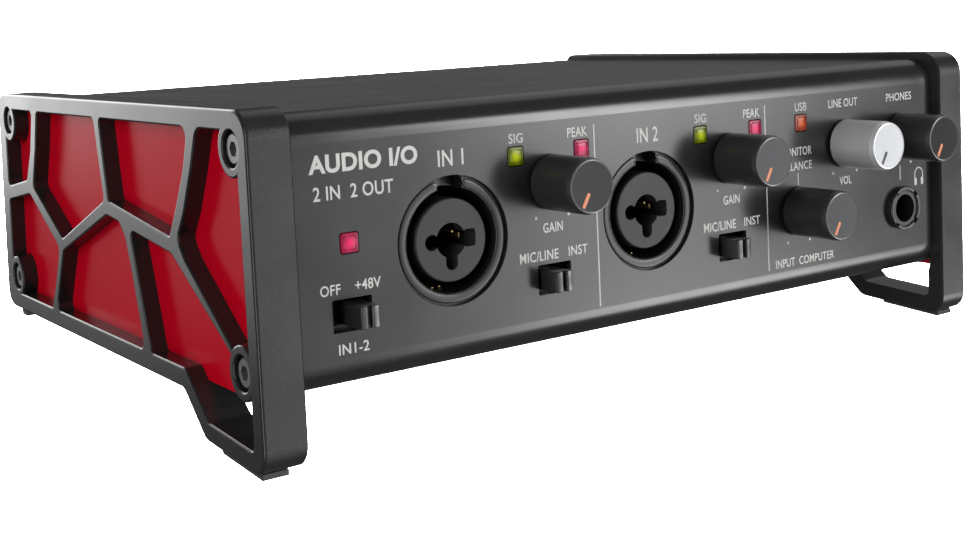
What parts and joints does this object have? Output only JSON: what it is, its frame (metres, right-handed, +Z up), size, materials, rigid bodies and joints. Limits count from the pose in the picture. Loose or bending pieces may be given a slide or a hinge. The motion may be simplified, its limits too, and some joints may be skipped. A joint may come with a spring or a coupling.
{
  "type": "usb audio interface",
  "caption": "Desktop audio recording interface in a bent steel case between two open-webbed side frames, with combination sockets, knobs, slide switches and indicator lights.",
  "frame": {"origin": "middle of the bounding box at table height", "axes": "+X to the right seen from the front, +Y from the front panel to the back, +Z up; the case leans back 3.8 degrees on its feet"},
  "size_m": [0.186, 0.1544, 0.0634],
  "materials": {
    "enclosure_paint": "fine satin powder coat",
    "frame_paint": "satin powder coat on a die casting",
    "red_plate": "high gloss",
    "rubber_pad": "matt",
    "black_screw": "dark oxide",
    "plated_steel": "nickel plated",
    "circuit_board": "solder mask",
    "component_plastic": "moulded",
    "bright_knob": "spun",
    "black_knob": "satin",
    "pot_shaft": "moulded",
    "switch_plastic": "satin",
    "red_lens": "clear tinted",
    "pink_lens": "clear tinted",
    "orange_lens": "clear tinted",
    "green_lens": "clear tinted",
    "socket_grey": "moulded",
    "socket_black": "moulded"
  },
  "bodies": {
    "chassis": {"board_components": "component_plastic", "board_link_header": "component_plastic", "board_screws": "plated_steel", "board_standoffs": "plated_steel", "bottom_screws": "black_screw", "chassis_tray": "enclosure_paint", "dc_inlet": "socket_black", "front_board": "circuit_board", "front_foot_pads": "rubber_pad", "input_1_socket_insert": "socket_grey", "input_1_socket_shell": "socket_black", "input_1_switch_body": "switch_plastic", "input_2_socket_insert": "socket_grey", "input_2_socket_shell": "socket_black", "input_2_switch_body": "switch_plastic", "line_out_nuts": "plated_steel", "line_out_socket_left": "socket_black", "line_out_socket_right": "socket_black", "main_board": "circuit_board", "midi_in_socket": "socket_black", "midi_out_socket": "socket_black", "peak_1_light": "pink_lens", "peak_2_light": "pink_lens", "phantom_light": "red_lens", "phantom_switch_body": "switch_plastic", "phones_ring_nut": "socket_grey", "phones_socket": "socket_black", "pot_balance_body": "component_plastic", "pot_gain_1_body": "component_plastic", "pot_gain_2_body": "component_plastic", "pot_line_out_body": "component_plastic", "pot_phones_body": "component_plastic", "rear_foot_pads": "rubber_pad", "rear_panel": "enclosure_paint", "rear_screws": "black_screw", "side_frame_left": "frame_paint", "side_frame_right": "frame_paint", "side_plate_left": "red_plate", "side_plate_right": "red_plate", "side_screws_left": "black_screw", "side_screws_right": "black_screw", "signal_1_light": "green_lens", "signal_2_light": "green_lens", "upper_cover": "enclosure_paint", "usb_c_socket": "plated_steel", "usb_light": "orange_lens"},
    "gain_1_control": {"gain_1_knob": "black_knob", "pot_gain_1_shaft": "pot_shaft"},
    "gain_2_control": {"gain_2_knob": "black_knob", "pot_gain_2_shaft": "pot_shaft"},
    "line_out_control": {"line_out_knob": "bright_knob", "pot_line_out_shaft": "pot_shaft"},
    "phones_control": {"phones_knob": "black_knob", "pot_phones_shaft": "pot_shaft"},
    "balance_control": {"balance_knob": "black_knob", "pot_balance_shaft": "pot_shaft"},
    "phantom_actuator": {"phantom_switch_slider": "switch_plastic"},
    "input_1_actuator": {"input_1_switch_slider": "switch_plastic"},
    "input_2_actuator": {"input_2_switch_slider": "switch_plastic"}
  },
  "joints": [
    {"name": "gain_1_turn", "type": "hinge", "parent": "chassis", "child": "gain_1_control", "pos_m": [-0.02875, -0.06945, 0.04526], "axis": [0, 0.9978, -0.0663], "range_deg": [0, 300]},
    {"name": "gain_2_turn", "type": "hinge", "parent": "chassis", "child": "gain_2_control", "pos_m": [0.01875, -0.06945, 0.04526], "axis": [0, 0.9978, -0.0663], "range_deg": [0, 300]},
    {"name": "line_out_turn", "type": "hinge", "parent": "chassis", "child": "line_out_control", "pos_m": [0.05415, -0.06945, 0.04526], "axis": [0, 0.9978, -0.0663], "range_deg": [0, 300]},
    {"name": "phones_turn", "type": "hinge", "parent": "chassis", "child": "phones_control", "pos_m": [0.073, -0.06945, 0.04526], "axis": [0, 0.9978, -0.0663], "range_deg": [0, 300]},
    {"name": "balance_turn", "type": "hinge", "parent": "chassis", "child": "balance_control", "pos_m": [0.0388, -0.07035, 0.03174], "axis": [0, 0.9978, -0.0663], "range_deg": [0, 300]},
    {"name": "phantom_slide", "type": "slide", "parent": "chassis", "child": "phantom_actuator", "axis": [1, 0, 0], "range_m": [-0.002, 0]},
    {"name": "input_1_slide", "type": "slide", "parent": "chassis", "child": "input_1_actuator", "axis": [1, 0, 0], "range_m": [0, 0.002]},
    {"name": "input_2_slide", "type": "slide", "parent": "chassis", "child": "input_2_actuator", "axis": [1, 0, 0], "range_m": [0, 0.002]}
  ]
}
